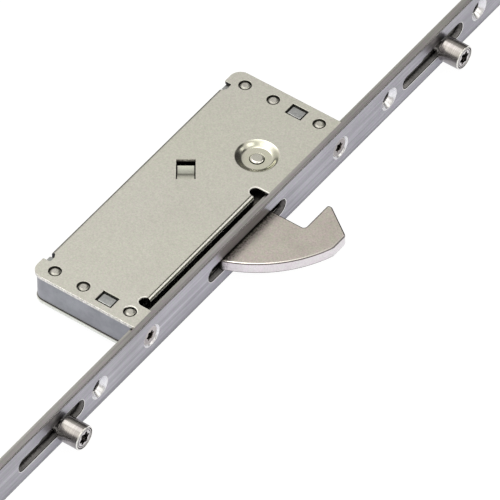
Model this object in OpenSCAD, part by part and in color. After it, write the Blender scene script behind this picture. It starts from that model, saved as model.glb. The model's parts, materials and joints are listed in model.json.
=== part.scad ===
// Hook section of a multipoint door lock: a steel faceplate with a sliding drive
// rod behind it, a riveted case with a swinging hook, and two eccentric rollers.
// +X points out of the door's edge, square to the faceplate. +Y runs along the
// faceplate, the way the hook's beak points. +Z is the normal of the case's cover.
// The origin lies on the faceplate's rear face, midway between its two inner
// fixing holes. The modules measure X from the faceplate's front face, and the
// last block moves them to the origin. The lock is drawn thrown, with the hook out.

/* [Faceplate] */
// Width of the faceplate
plate_w = 16; // [16:0.5:20]
// Thickness of the faceplate
plate_t = 2.2; // [2:0.1:3]
// Length of the faceplate past its lowest fixing hole
plate_low_over = 6; // [5:0.5:40]
// Length of the faceplate past its upper guide stud
plate_high_over = 10; // [8:0.5:40]
// Radius of the faceplate's four corners
plate_corner_r = 1.5; // [0.5:0.5:3]
// Radius of the faceplate's long front edges
plate_edge_r = 0.5; // [0.2:0.1:0.8]
// Distance of each inner fixing hole from the end of the case
fixing_gap = 22.5; // [20:0.5:24]
// Distance of the lowest fixing hole from the lower guide stud
fixing_low_gap = 13; // [11:0.5:16]
// Distance of the highest fixing hole from the upper roller
fixing_high_gap = 21.7; // [20.2:0.5:26.2]
// Diameter of the fixing holes
fixing_d = 4.3; // [4:0.1:5]
// Diameter of the countersinks at the front face
sink_d = 8; // [7.6:0.1:8.6]

/* [Drive rod] */
// Width of the rod, which passes between the cover and the back plate
rod_w = 9; // [8.6:0.1:9.2]
// Thickness of the rod
rod_t = 2.6; // [2.2:0.1:3]
// How far the rod slides down to withdraw the hook
rod_travel = 10; // [9:0.25:10.5]
// Length of the rod's fork past the lower guide stud
rod_low_over = 7; // [5:0.5:9]
// Length of the rod past its coupling
rod_high_over = 1; // [0.5:0.5:10]
// Gap between the rod and what it slides on
rod_play = 0.05; // [0.03:0.01:0.1]

/* [Case] */
// Length of the case along the faceplate
case_len = 112; // [111:0.5:116]
// Depth of the case, from the faceplate's front face to the rear wall
case_depth = 44.2; // [43.8:0.2:48]
// Clear height inside the case, between its cover and its back plate
case_inner = 9.6; // [9.4:0.1:11]
// Thickness of the sheet of the cover and of the back plate
sheet_t = 1.3; // [1.1:0.1:1.5]
// Inner radius of the bends in the cover
bend_in_r = 0.1; // [0.1:0.1:0.8]
// Length of the end tabs, from the ends of the case to the rear notches
tab_len = 7.2; // [6.6:0.1:7.8]
// Depth of the rear notches, from the rear wall's outer face
notch_depth = 2.2; // [1.8:0.1:3]
// How far the end tabs stand out past the rear wall
tab_out = 0.5; // [0.2:0.1:1]
// Radius of the rear corners
case_corner_r = 4; // [2:0.5:6]
// Length of each end block along the faceplate
block_len = 9.6; // [9:0.1:10]
// How far the end blocks stand back from the ends of the cover
block_inset = 0.4; // [0.2:0.1:0.8]
// Distance of the rivets and screws from the ends of the case
rivet_in = 4.8; // [4.6:0.1:5.2]
// Distance of the rear rivet from the case's rear wall
rivet_rear_in = 6; // [5:0.1:7]
// Distance of the middle rivet from the case's rear wall
rivet_mid_in = 17.3; // [16:0.1:18.5]
// Depth of the front rivet behind the faceplate's front face
rivet_front = 8.5; // [8.2:0.1:10]
// Depth of the middle of the staked tenon
tenon_x = 17.5; // [16.5:0.1:18.5]
// Length of the tenon, square to the faceplate
tenon_len = 5.1; // [4.6:0.1:6]
// Width of the tenon
tenon_w = 3.6; // [3.2:0.1:4.4]
// Gap round the tenon in the cover, on each side
tenon_gap = 0.6; // [0.3:0.1:0.8]
// Diameter of the rivet shanks
rivet_d = 3.3; // [3:0.1:3.7]
// Diameter of the hole in the cover round each rivet head
rivet_ring_d = 4.4; // [4.2:0.1:5]
// Diameter of the noses that carry the case on the faceplate
nose_d = 5.6; // [5.2:0.1:5.8]

/* [Cover] */
// Depth to which the cover's front edge is cut back along the hook
lip_x = 6.4; // [6.2:0.1:7]
// Distance of the cut back edge's lower end from the end of the case
lip_low_in = 11; // [10.5:0.5:13]
// Distance of the cut back edge's upper end below the hook's pivot
lip_drop = 13.2; // [12.6:0.2:14]
// Depth to which the lip is bent down into the case
lip_drop_z = 3.2; // [2.8:0.1:3.4]
// Width of the relief slots at the ends of the lip
relief_w = 3.8; // [3:0.1:4.2]
// Depth of the relief slots behind the lip
relief_in = 2.8; // [2:0.1:4]
// Diameter of the dish over the hook's pivot
dish_d = 15; // [14:0.5:16]
// Diameter of the dish's floor
dish_floor_d = 11.6; // [10:0.1:12.4]
// Depth of the dish
dish_z = 1.4; // [1:0.1:1.5]
// Depth of the middle of the tongue's bend line behind the faceplate
tongue_x = 28.7; // [27.1:0.2:30.1]
// Distance of the middle of the tongue's bend line below the hook's pivot
tongue_drop = 21.9; // [19.9:0.2:24.9]
// Direction of the tongue's bend line
tongue_angle = 36; // [20:1:50]
// Width of the tongue's window
tongue_w = 6.3; // [5:0.1:8]
// Length of the tongue's sloping part
tongue_slope = 3.7; // [3:0.1:5]
// Length of the tongue's flat part
tongue_flat = 3.7; // [3:0.1:6]
// Cut along the tongue's sides
tongue_gap = 0.3; // [0.2:0.05:0.5]
// Gap between the tongue's free end and the far side of its window
tongue_end_gap = 1.5; // [1:0.1:2]

/* [Hook] */
// Depth of the hook's pivot behind the faceplate's rear face
pivot_back = 14.1; // [14:0.1:14.4]
// Distance of the hook's pivot from the upper end of the case
pivot_in = 28.3; // [27.5:0.1:29.5]
// Radius of the hook's outer edge about its pivot
hook_r = 44.2; // [43:0.1:44.4]
// Thickness of the hook
hook_t = 4.5; // [4:0.1:4.6]
// Angle through which the hook swings
hook_swing = 57; // [56.5:0.5:58]
// Distance of the neck's upper edge below the pivot
neck_drop = 14; // [13.6:0.1:14.6]
// Distance of the beak's inner face in front of the faceplate
throat = 12.8; // [12:0.1:13.2]
// Height of the beak above the neck's upper edge
beak_rise = 12.8; // [11.5:0.1:13]
// Width of the beak's blunt tip
beak_tip = 1.7; // [1.2:0.1:2.5]
// Distance of the beak's flat back in front of the faceplate
beak_reach = 25.2; // [24:0.1:25.6]
// Height of the beak's back corner above the neck's upper edge
beak_shoulder = 5.3; // [4:0.1:7]
// Radius of the hub round the pivot
hub_r = 9; // [8:0.1:9.5]
// Width of the hook's slot in the faceplate
hook_slot_w = 6; // [5.6:0.1:6.4]
// Length of the hook's slot past each side of the hook
hook_slot_over = 7.4; // [6:0.1:8]
// Diameter of the pivot pin in the hook
pivot_d = 7; // [6:0.1:7.4]
// Diameter of the pivot pin's ends in the cover and the back plate
pivot_end_d = 4.7; // [4:0.1:5]
// Diameter of the hook's drive pin
drive_pin_d = 3.2; // [3:0.1:3.4]

/* [Rollers] */
// Distance of the lower roller from the fixing hole next to it
roller_low_gap = 20.4; // [19.4:0.2:24]
// Distance of the upper roller from the fixing hole next to it
roller_high_gap = 29.3; // [27.5:0.1:32]
// Outer diameter of the roller sleeves
sleeve_d = 8.6; // [8.2:0.1:9]
// Distance of the sleeve's end in front of the faceplate
sleeve_out = 9; // [8:0.1:10]
// Offset of the sleeve's axis from the stud's axis
eccentric = 0.5; // [0.3:0.1:0.6]
// Diameter of the journal that the sleeve turns on
journal_d = 5.6; // [5.4:0.1:5.7]
// Diameter of the stud's neck in the faceplate's slot
neck_d = 4.2; // [4:0.1:4.6]
// Width of the roller slots
roller_slot_w = 6; // [5.8:0.1:6.4]
// Length of the roller slots below and above the roller
roller_slot_back = 21.6; // [20:0.2:23]
roller_slot_fwd = 12.3; // [11:0.1:13]
// Length of the slots' wide stretch below the roller, before their narrower tail
roller_wide_back = 9.6; // [9:0.1:11]
// Size of the star sockets in the roller studs, across their points
stud_socket_d = 5; // [4.6:0.1:5.2]

/* [Fasteners and small pieces] */
// Diameter of the case screws
screw_d = 4; // [3.5:0.1:4]
// Length of the case screws, which end in front of the front rivets
screw_len = 6.2; // [5.5:0.1:6.4]
// Size of the star sockets in the case screws, across their points
socket_d = 3.9; // [3.4:0.1:4.2]
// Distance of the lower guide stud from the lower roller's slot
guide_low_gap = 20.5; // [17:0.5:24]
// Distance of the upper guide stud from the highest fixing hole
guide_high_gap = 20.5; // [19:0.5:24]
// Diameter of the guide studs' shoulders
guide_d = 5.4; // [5:0.1:5.8]
// Diameter of the guide studs' washers
guide_washer_d = 12; // [10:0.5:13]
// Thickness of the guide studs' washers
guide_washer_t = 1; // [0.8:0.1:1.5]
// Gap between the upper guide stud's washer and the coupling with the hook in
coupling_gap = 2; // [1:0.5:6]
// Length of the coupling
coupling_len = 13; // [12:0.5:13]
// Thickness of the coupling
coupling_t = 3; // [2.5:0.1:4]
// Pitch of the coupling's teeth
tooth_pitch = 2; // [1.5:0.1:2.5]
// Width of the detent spring's strip
spring_w = 1.8; // [1.4:0.1:1.9]
// Thickness of the detent spring's strip
spring_t = 0.5; // [0.4:0.05:0.6]

/* [Fits] */
// Radial clearance of turning and sliding pins
run_fit = 0.03; // [0.02:0.01:0.08]
// Clearance between plates that slide past each other
side_fit = 0.1; // [0.05:0.01:0.15]
// Clearance round fixed pieces in their holes
hole_fit = 0.05; // [0.02:0.01:0.1]
// Clearance of slots along the rod
slot_fit = 0.4; // [0.2:0.05:0.5]
// Clearance of the hook in the rod's window, on each side
window_fit = 0.4; // [0.3:0.05:0.5]
// Clearance round the pivot pin's end in the dish
pivot_end_fit = 0.15; // [0.05:0.05:0.3]
// Clearance of the drive pin in the carriage's cross slot
yoke_fit = 0.15; // [0.1:0.01:0.2]
// Clearance left between the swung hook and the case's rear wall
heel_fit = 0.5; // [0.4:0.1:1]

/* [Hidden] */
$fn = 64;
eps = 0.01;

// Levels across the faceplate and the rod, all behind the front face
plate_back = -plate_t;
rod_front = plate_back - rod_play;
rod_back = rod_front - rod_t;
sheet_front = plate_back - rod_play;
block_front = rod_back - rod_play;
rear_x = -case_depth;
tab_x = rear_x - tab_out;
notch_x = rear_x + notch_depth;
bend_r = sheet_t + bend_in_r;

// Levels through the case
inner_top = case_inner / 2;
inner_low = -case_inner / 2;
cover_top = inner_top + sheet_t;
back_low = inner_low - sheet_t;
hook_top = hook_t / 2;
hook_low = -hook_t / 2;
dish_under = cover_top - dish_z - sheet_t;
dish_floor = cover_top - dish_z;

// Places along the faceplate
half_len = case_len / 2;
rivet_y = half_len - rivet_in;
lip_low = half_len - lip_low_in;
block_out = half_len - block_inset;
block_in = block_out - block_len;
wall_y = block_in - 0.9;
tab_in = half_len - tab_len;
pivot_x = plate_back - pivot_back;
pivot_y = half_len - pivot_in;
tongue_y = pivot_y - tongue_drop;
neck_y = pivot_y - neck_drop;
lip_high = pivot_y - lip_drop;
rivet_xs = [rear_x + rivet_rear_in, rear_x + rivet_mid_in, -rivet_front];
fixing_y = half_len + fixing_gap;
roller_low = fixing_y + roller_low_gap;
roller_high = fixing_y + roller_high_gap;
guide_low = roller_low + roller_slot_back + guide_low_gap;
fixing_low = guide_low + fixing_low_gap;
fixing_high = roller_high + fixing_high_gap;
guide_high = fixing_high + guide_high_gap;
plate_low = fixing_low + plate_low_over;
plate_high = guide_high + plate_high_over;
coupling_y = guide_high + rod_travel + guide_washer_d / 2 + coupling_gap;
rod_low = guide_low + rod_low_over;
rod_high = coupling_y + coupling_len + rod_high_over;
rollers = [-roller_low, roller_high];
guides = [-guide_low, guide_high];
fixings = [-fixing_low, -fixing_y, fixing_y, fixing_high];

// The drive pin swings evenly about the cross slot's line, so its radius follows
// from the rod's travel and the hook's swing
drive_r = rod_travel / (2 * sin(hook_swing / 2));
drive_x = pivot_x + drive_r * cos(hook_swing / 2);
drive_y = pivot_y + rod_travel / 2;
swing_r = plate_back - 0.4 - pivot_x;
ear_r = swing_r - drive_r;
arm_r = swing_r - 0.15;
arm_x = pivot_x + arm_r - 0.1;

// The hook's outer edge crosses the front face here
hook_root_y = pivot_y - sqrt(hook_r * hook_r - pivot_x * pivot_x);
hook_slot_low = hook_root_y - hook_slot_over;
hook_slot_high = neck_y + hook_slot_over;

// Window in the rod that the hook swings through
window_w = hook_t + 2 * window_fit;
window_low = hook_root_y - slot_fit - 2;
window_high = pivot_y + (drive_r + ear_r) * sin(35) + rod_travel;

// The carriage below the hook
carriage_top = hook_low - side_fit * 2;
carriage_low = inner_low + side_fit;
carriage_rear = drive_x - drive_pin_d / 2 - yoke_fit - 2.1;
carriage_tab_w = 4;
carriage_tabs = [for (i = [1, 2]) window_low - i * (carriage_tab_w + 1.2)];
carriage_y0 = carriage_tabs[1] - 1.6;
carriage_y1 = drive_y + 8;
yoke_w = drive_pin_d + 2 * yoke_fit;
stud_d = 3;
stud_x = (carriage_rear + block_front) / 2;
stud_y = 10;
notch_in = 1;
notch_half = 1.6;
nose_y = -8;
spring_back = 0.9;
spring_line = carriage_rear - spring_t - spring_back;
spring_z = (carriage_top + carriage_low) / 2;

// The hook's bottom spacer stays clear of the carriage
spacer_d = 2 * (carriage_rear - pivot_x) - 2 * side_fit;
top_washer_d = dish_floor_d + 0.6;

// Stations of the roller studs along X
collar_x = 0.2;
collar_t = 0.9;
collar_d = roller_slot_w - 2 * side_fit;
end_flange_t = 0.7;
end_flange_d = sleeve_d - 1.6;
end_flange_x = sleeve_out - 0.1 - end_flange_t;
end_gap = 0.3;
stud_socket_in = 2;

// Points round the corner q between p and r, on an arc of radius rad
function unit(v) = v / norm(v);
function corner(p, q, r, rad, n) =
    let (u = unit(p - q), v = unit(r - q), half = acos(u * v) / 2)
    let (c = q + unit(u + v) * rad / sin(half), reach = rad / tan(half))
    let (a = q + u * reach - c, b = q + v * reach - c)
    let (a0 = atan2(a.y, a.x), turn = (atan2(b.y, b.x) - a0 + 540) % 360 - 180)
    [for (i = [0 : n]) c + rad * [cos(a0 + turn * i / n), sin(a0 + turn * i / n)]];

// A polygon's points with each corner rounded by its own radius
function rounded(pts, rads) =
    let (n = len(pts))
    [for (i = [0 : n - 1])
        each (rads[i] == 0 ? [pts[i]]
            : corner(pts[(i + n - 1) % n], pts[i], pts[(i + 1) % n], rads[i], 8))];

// A box given by its limits
module block(x0, x1, y0, y1, z0, z1)
    translate([x0, y0, z0])
        cube([x1 - x0, y1 - y0, z1 - z0]);

// A cylinder or cone along X, between two depths
module along_x(x0, x1, r0, r1, y = 0, z = 0)
    translate([x0, y, z])
        rotate([0, 90, 0])
            cylinder(h = x1 - x0, r1 = r0, r2 = r1);

// A cylinder along Z, between two levels
module along_z(z0, z1, r, x, y)
    translate([x, y, z0])
        cylinder(h = z1 - z0, r = r);

// A slot with round ends along Y, cut through X
module slot_y(x0, x1, y0, y1, w) {
    along_x(x0, x1, w / 2, w / 2, y0 + w / 2);
    along_x(x0, x1, w / 2, w / 2, y1 - w / 2);
    block(x0, x1, y0 + w / 2, y1 - w / 2, -w / 2, w / 2);
}

// A slot with round ends along Y, cut through Z
module slot_z(z0, z1, x, y0, y1, w) {
    along_z(z0, z1, w / 2, x, y0 + w / 2);
    along_z(z0, z1, w / 2, x, y1 - w / 2);
    block(x - w / 2, x + w / 2, y0 + w / 2, y1 - w / 2, z0, z1);
}

// A star socket of size d that opens towards +X
module star_socket(x, depth, y, d)
    translate([x - depth, y, 0])
        rotate([90, 0, 90])
            linear_extrude(height = depth + 1)
                polygon([for (a = [0 : 6 : 354])
                    d / 2 * (0.86 + 0.14 * cos(6 * a)) * [cos(a), sin(a)]]);

// Hole and countersink for a screw through the faceplate
module sunk_hole(y, d) {
    along_x(plate_back - 1, 1, d / 2, d / 2, y);
    along_x(-(sink_d - d) / 2, eps, d / 2, sink_d / 2 + eps, y);
}

module faceplate() color([0.66, 0.65, 0.68]) {
    half_w = plate_w / 2;
    difference() {
        intersection() {
            translate([0, plate_high, 0])
                rotate([90, 0, 0])
                    linear_extrude(height = plate_low + plate_high)
                        polygon(rounded(
                            [[plate_back, -half_w], [0, -half_w], [0, half_w], [plate_back, half_w]],
                            [0, plate_edge_r, plate_edge_r, 0]));
            translate([plate_back - 1, 0, 0])
                rotate([90, 0, 90])
                    linear_extrude(height = plate_t + 2)
                        polygon(rounded(
                            [[-plate_low, -half_w], [plate_high, -half_w],
                             [plate_high, half_w], [-plate_low, half_w]],
                            [for (i = [0 : 3]) plate_corner_r]));
        }
        for (y = fixings)
            sunk_hole(y, fixing_d);
        for (side = [-1, 1])
            sunk_hole(side * rivet_y, screw_d + 2 * hole_fit);
        for (y = guides)
            guide_seat(y);
        slot_y(plate_back - 1, 1, hook_slot_low, hook_slot_high, hook_slot_w);
        for (y = rollers)
            roller_slot(y);
    }
}

// Slot for a roller stud. In its tail it is narrower on the cover's side, where it
// only has to let the neck through
module roller_slot(y) {
    half = roller_slot_w / 2;
    tail = neck_d / 2 + side_fit;
    ramp = 1.6;
    translate([plate_back - 1, y, 0])
        rotate([90, 0, 90])
            linear_extrude(height = plate_t + 2)
                polygon(rounded(
                    [[-roller_slot_back, -half], [roller_slot_fwd, -half], [roller_slot_fwd, half],
                     [-roller_wide_back, half], [-roller_wide_back - ramp, tail],
                     [-roller_slot_back, tail]],
                    [0.48 * (half + tail), 0.96 * half, 0.96 * half, 0, 2, 0.48 * (half + tail)]));
}

// Hole for the staked front end of a guide stud
guide_end_d = 4;
guide_head_d = 6.4;
module guide_seat(y) {
    along_x(plate_back - 1, 1, guide_end_d / 2, guide_end_d / 2, y);
    along_x(-(guide_head_d - guide_end_d) / 2, eps, guide_end_d / 2, guide_head_d / 2 + eps, y);
}

module drive_rod() color([0.58, 0.57, 0.56]) {
    cut0 = rod_back - 1;
    cut1 = rod_front + 1;
    nose_slot = nose_d + slot_fit;
    guide_slot = guide_d + slot_fit;
    fixing_slot = fixing_d + 2 * slot_fit;
    difference() {
        block(rod_back, rod_front, -rod_low, rod_high, -rod_w / 2, rod_w / 2);
        block(cut0, cut1, window_low, window_high, -window_w / 2, window_w / 2);
        for (y = carriage_tabs)
            block(cut0, cut1, y - hole_fit, y + carriage_tab_w + hole_fit,
                -rod_w / 2 - 1, carriage_top + hole_fit);
        // The carriage's cross slot runs on into the rod
        block(cut0, pivot_x + drive_r + drive_pin_d / 2 + yoke_fit, drive_y - yoke_w / 2,
            drive_y + yoke_w / 2, -rod_w / 2 - 1, 0);
        for (side = [-1, 1])
            slot_y(cut0, cut1, side * rivet_y - nose_slot / 2,
                side * rivet_y + rod_travel + nose_slot / 2, nose_slot);
        for (y = [-fixing_y, fixing_y, fixing_high])
            slot_y(cut0, cut1, y - fixing_slot / 2, y + rod_travel + fixing_slot / 2, fixing_slot);
        slot_y(cut0, cut1, -rod_low - guide_slot, -guide_low + rod_travel + guide_slot / 2, guide_slot);
        slot_y(cut0, cut1, guide_high - guide_slot / 2,
            guide_high + rod_travel + guide_slot / 2, guide_slot);
        for (y = rollers)
            along_x(cut0, cut1, stud_shank_d / 2 + run_fit, stud_shank_d / 2 + run_fit, y);
        for (y = coupling_rivet_ys)
            along_x(cut0, cut1, coupling_rivet_d / 2, coupling_rivet_d / 2, y);
    }
}

// Toothed block on the rod's tail, for the next length of rod
coupling_rivet_d = 2.5;
coupling_rivet_ys = [coupling_y + 3, coupling_y + coupling_len - 3];
coupling_w = rod_w - 0.6;
coupling_back = rod_back - coupling_t;
module rod_coupling() color([0.6, 0.6, 0.6]) {
    teeth = floor((coupling_len - 1) / tooth_pitch);
    difference() {
        block(coupling_back, rod_back, coupling_y, coupling_y + coupling_len,
            -coupling_w / 2, coupling_w / 2);
        for (i = [0 : teeth - 1])
            translate([coupling_back, coupling_y + 1 + tooth_pitch * i, -coupling_w])
                linear_extrude(height = 2 * coupling_w)
                    polygon([[-1, -0.1], [tooth_pitch / 2, tooth_pitch / 2], [-1, tooth_pitch + 0.1]]);
        for (y = coupling_rivet_ys)
            along_x(coupling_back - 1, rod_back + 1, coupling_rivet_d / 2, coupling_rivet_d / 2, y);
    }
}

module coupling_rivets() color([0.62, 0.62, 0.62])
    for (y = coupling_rivet_ys) {
        along_x(coupling_back + tooth_pitch / 2, rod_front, coupling_rivet_d / 2,
            coupling_rivet_d / 2, y);
    }

// Cross section of a bend along Y: the sheet runs back to +X and drops to -Y
module bend_profile(drop, flat) {
    difference() {
        union() {
            translate([bend_r, -sheet_t])
                square([flat, sheet_t]);
            translate([0, -drop])
                square([sheet_t, drop - bend_r]);
            intersection() {
                translate([bend_r, -bend_r])
                    circle(r = bend_r);
                translate([0, -bend_r])
                    square(bend_r);
            }
        }
        translate([bend_r, -bend_r])
            circle(r = bend_r - sheet_t);
    }
}

// A bent edge of the cover whose outer face lies at x, facing out towards side
module bent_edge(x, side, y0, y1, drop)
    translate([x, side > 0 ? y0 : y1, cover_top])
        rotate([90, 0, side > 0 ? 180 : 0])
            linear_extrude(height = y1 - y0)
                bend_profile(drop, 1);

// Half of the cover's sheet, from past its middle round the rear notch to its end tab
module half_sheet_2d(side)
    polygon(rounded(
        [[sheet_front, -side], [rear_x + bend_r, -side], [rear_x + bend_r, side * wall_y],
         [notch_x, side * (wall_y + 1.3)], [notch_x, side * tab_in], [tab_x, side * tab_in],
         [tab_x, side * half_len], [sheet_front, side * half_len]],
        [0, 0, 0, 0.4, 0.4, 0.4, case_corner_r, 0]));

module cover_sheet_2d() difference() {
    for (side = [-1, 1])
        half_sheet_2d(side);
    // The front edge is cut back for the lip
    translate([-lip_x - bend_r, -lip_low])
        square([lip_x + bend_r, lip_low + lip_high]);
    for (y = [-lip_low, lip_high]) {
        translate([-lip_x - relief_in + relief_w / 2, y])
            circle(r = relief_w / 2);
        translate([-lip_x - relief_in + relief_w / 2, y - relief_w / 2])
            square([lip_x + relief_in, relief_w]);
    }
    for (side = [-1, 1]) {
        for (x = rivet_xs)
            translate([x, side * rivet_y])
                circle(d = rivet_ring_d);
        translate([-tenon_x, side * rivet_y])
            square([tenon_len + 2 * tenon_gap, tenon_w + 2 * tenon_gap], center = true);
    }
    translate([-tongue_x, tongue_y])
        rotate(tongue_angle)
            translate([-tongue_w / 2, 0])
                square([tongue_w, tongue_slope + tongue_flat + tongue_end_gap]);
}

// Half section of the dish's hollow: a floor that falls slightly to the middle, and
// a wall that runs out of it and into the cover in a smooth double curve
module dish_profile() {
    foot = dish_floor_d / 2;
    wall = dish_d / 2 - foot;
    steps = 12;
    polygon(concat([[0, dish_floor - 0.1]],
        [for (i = [0 : steps])
            let (t = i / steps)
            [foot + wall * t, dish_floor + dish_z * t * t * (3 - 2 * t)]],
        [[dish_d / 2, cover_top + 1], [0, cover_top + 1]]));
}

module case_cover() color([0.80, 0.78, 0.73]) difference() {
    union() {
        translate([0, 0, inner_top])
            linear_extrude(height = sheet_t)
                cover_sheet_2d();
        bent_edge(rear_x, -1, -wall_y, wall_y, cover_top - inner_low - side_fit);
        bent_edge(-lip_x, 1, -lip_low + relief_w / 2, lip_high - relief_w / 2, lip_drop_z);
        tongue();
        // The dish's wall and floor below the sheet
        translate([pivot_x, pivot_y, dish_under])
            cylinder(h = dish_z + sheet_t, r1 = dish_floor_d / 2 + 0.6, r2 = dish_d / 2 + 0.6);
    }
    translate([pivot_x, pivot_y, 0])
        rotate_extrude()
            dish_profile();
    along_z(dish_under - 1, cover_top + 1, pivot_end_d / 2 + pivot_end_fit, pivot_x, pivot_y);
}

// Joggled tongue lanced out of the cover, which keeps the swung hook off it
module tongue()
    translate([-tongue_x, tongue_y, cover_top])
        rotate([0, 0, tongue_angle])
            rotate([90, 0, 90])
                translate([0, 0, tongue_gap - tongue_w / 2])
                    linear_extrude(height = tongue_w - 2 * tongue_gap)
                        polygon([[-1, 0], [0, 0], [tongue_slope, -dish_z],
                            [tongue_slope + tongue_flat, -dish_z],
                            [tongue_slope + tongue_flat, -dish_z - sheet_t],
                            [tongue_slope, -dish_z - sheet_t], [0, -sheet_t], [-1, -sheet_t]]);

module case_back_plate() color([0.74, 0.73, 0.70]) difference() {
    translate([0, 0, back_low])
        linear_extrude(height = sheet_t)
            difference() {
                polygon(rounded([[sheet_front, -half_len], [sheet_front, half_len],
                    [rear_x, half_len], [rear_x, -half_len]],
                    [0, 0, case_corner_r, case_corner_r]));
                for (side = [-1, 1])
                    translate([-tenon_x, side * rivet_y])
                        square([tenon_len + 2 * hole_fit, tenon_w + 2 * hole_fit], center = true);
            }
    for (side = [-1, 1], x = rivet_xs)
        along_z(back_low - 1, inner_low + 1, rivet_d / 2 + hole_fit, x, side * rivet_y);
    along_z(back_low - 1, inner_low + 1, pivot_end_d / 2 + hole_fit, pivot_x, pivot_y);
    along_z(back_low - 1, inner_low + 1, stud_d / 2 - 0.4 + hole_fit, stud_x, stud_y);
}

// How far the tenons end below the cover's and the back plate's outer faces
tenon_in = 0.45;

// Die-cast block that closes one end of the case. Its nose passes through the
// rod's slot and seats on the faceplate
module end_block(side) color([0.61, 0.63, 0.66]) difference() {
    union() {
        translate([0, 0, inner_low])
            linear_extrude(height = case_inner)
                polygon(rounded([[block_front, side * block_in], [rear_x, side * block_in],
                    [rear_x, side * block_out], [block_front, side * block_out]],
                    [0, 0, case_corner_r, 0]));
        along_x(block_front - 1, plate_back, nose_d / 2, nose_d / 2, side * rivet_y);
        translate([-tenon_x, side * rivet_y, 0])
            cube([tenon_len, tenon_w, case_inner + 2 * (sheet_t - tenon_in)], center = true);
    }
    for (x = rivet_xs)
        along_z(inner_low - 1, inner_top + 1, rivet_d / 2 + hole_fit, x, side * rivet_y);
    along_x(-screw_len - hole_fit, 1, screw_d / 2 + hole_fit, screw_d / 2 + hole_fit, side * rivet_y);
    // Slit that holds the detent spring's foot
    if (side < 0)
        block(spring_line - hole_fit, spring_line + spring_t + hole_fit,
            -block_in - spring_foot, -block_in + 1,
            spring_z - spring_w / 2 - hole_fit, spring_z + spring_w / 2 + hole_fit);
}
module end_block_lower() end_block(-1);
module end_block_upper() end_block(1);

// Rivets through block and back plate. A flange fills the foot of the cover's hole,
// and a head with a bevelled rim stands in it, level with the cover
rivet_flange_t = 0.3;
rivet_bevel = 0.4;
module case_rivets(side) color([0.66, 0.66, 0.65])
    for (x = rivet_xs)
        translate([x, side * rivet_y, 0]) {
            translate([0, 0, back_low + 0.1])
                cylinder(h = cover_top - rivet_bevel - back_low - 0.1, d = rivet_d);
            translate([0, 0, inner_top])
                cylinder(h = rivet_flange_t, d = rivet_ring_d - 2 * hole_fit);
            translate([0, 0, cover_top - rivet_bevel])
                cylinder(h = rivet_bevel, d1 = rivet_d, d2 = rivet_d - 1.1);
        }
module case_rivets_lower() case_rivets(-1);
module case_rivets_upper() case_rivets(1);

// Countersunk screw with a star socket, from the faceplate into the nose. Its head
// ends a little below the faceplate's front face
head_in = 0.5;
head_socket_in = 1.4;
head_r = sink_d / 2 - head_in - hole_fit;
module case_screw(side) color([0.78, 0.74, 0.71]) difference() {
    union() {
        along_x(-screw_len, -head_in, screw_d / 2, screw_d / 2, side * rivet_y);
        along_x(-head_in - head_r + screw_d / 2, -head_in, screw_d / 2, head_r, side * rivet_y);
    }
    star_socket(-head_in, head_socket_in, side * rivet_y, socket_d);
}
module case_screw_lower() case_screw(-1);
module case_screw_upper() case_screw(1);

// Outline of the blade, from the neck's upper edge round the beak to the heel,
// before its outer edge is rounded to the hook's radius
module blade_2d() {
    beak_y = neck_y + beak_rise;
    shoulder_y = neck_y + beak_shoulder;
    // The heel is cut so that it clears the rear wall when the hook is swung in
    heel_reach = rear_x + sheet_t + heel_fit - pivot_x;
    heel_angle = hook_swing - acos(heel_reach / hook_r);
    heel = [pivot_x, pivot_y] + hook_r * [cos(heel_angle), sin(heel_angle)];
    heel_run = [-sin(hook_swing), cos(hook_swing)];
    polygon(rounded(
        [[arm_x, neck_y], [throat, neck_y], [throat, beak_y], [throat + beak_tip, beak_y],
         [beak_reach, shoulder_y], [beak_reach, pivot_y - hook_r - 5], heel - 10 * heel_run,
         heel + 9 * heel_run, [pivot_x - 0.9 * hub_r, pivot_y - 0.3 * hub_r],
         [pivot_x, pivot_y + 1], [arm_x, pivot_y + 1]],
        [3, 1.2, 0.8, 0.8, 1.6, 0, 0, 2, 0, 0, 0]));
}

// Outline of the arm between the hub and the ear that carries the drive pin
module ear_arm_2d() {
    side_angle = acos((hub_r - ear_r) / drive_r) + hook_swing / 2;
    side = [cos(side_angle), sin(side_angle)];
    polygon([[pivot_x, pivot_y], [drive_x, drive_y], [drive_x, drive_y] + 0.95 * ear_r * side,
        [pivot_x, pivot_y] + 0.97 * hub_r * side]);
}

module hook() color([0.77, 0.73, 0.68]) {
    z0 = hook_low;
    difference() {
        union() {
            intersection() {
                along_z(z0, hook_top, hook_r, pivot_x, pivot_y);
                translate([0, 0, z0 - 1])
                    linear_extrude(height = hook_t + 2)
                        blade_2d();
            }
            along_z(z0, hook_top, hub_r, pivot_x, pivot_y);
            along_z(z0, hook_top, ear_r, drive_x, drive_y);
            translate([0, 0, z0])
                linear_extrude(height = hook_t)
                    ear_arm_2d();
            // Sector that joins the ear to the arm's front edge
            intersection() {
                along_z(z0, hook_top, arm_r, pivot_x, pivot_y);
                translate([0, 0, z0 - 1])
                    linear_extrude(height = hook_t + 2)
                        polygon([[pivot_x, pivot_y], [arm_x + 2, pivot_y],
                            2 * [drive_x, drive_y] - [pivot_x, pivot_y]]);
            }
        }
        along_z(z0 - 1, hook_top + 1, pivot_d / 2 + run_fit, pivot_x, pivot_y);
        along_z(z0 - 1, hook_top + 1, drive_pin_d / 2, drive_x, drive_y);
    }
}

module hook_drive_pin() color([0.7, 0.7, 0.7])
    along_z(carriage_low, hook_top, drive_pin_d / 2, drive_x, drive_y);

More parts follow.
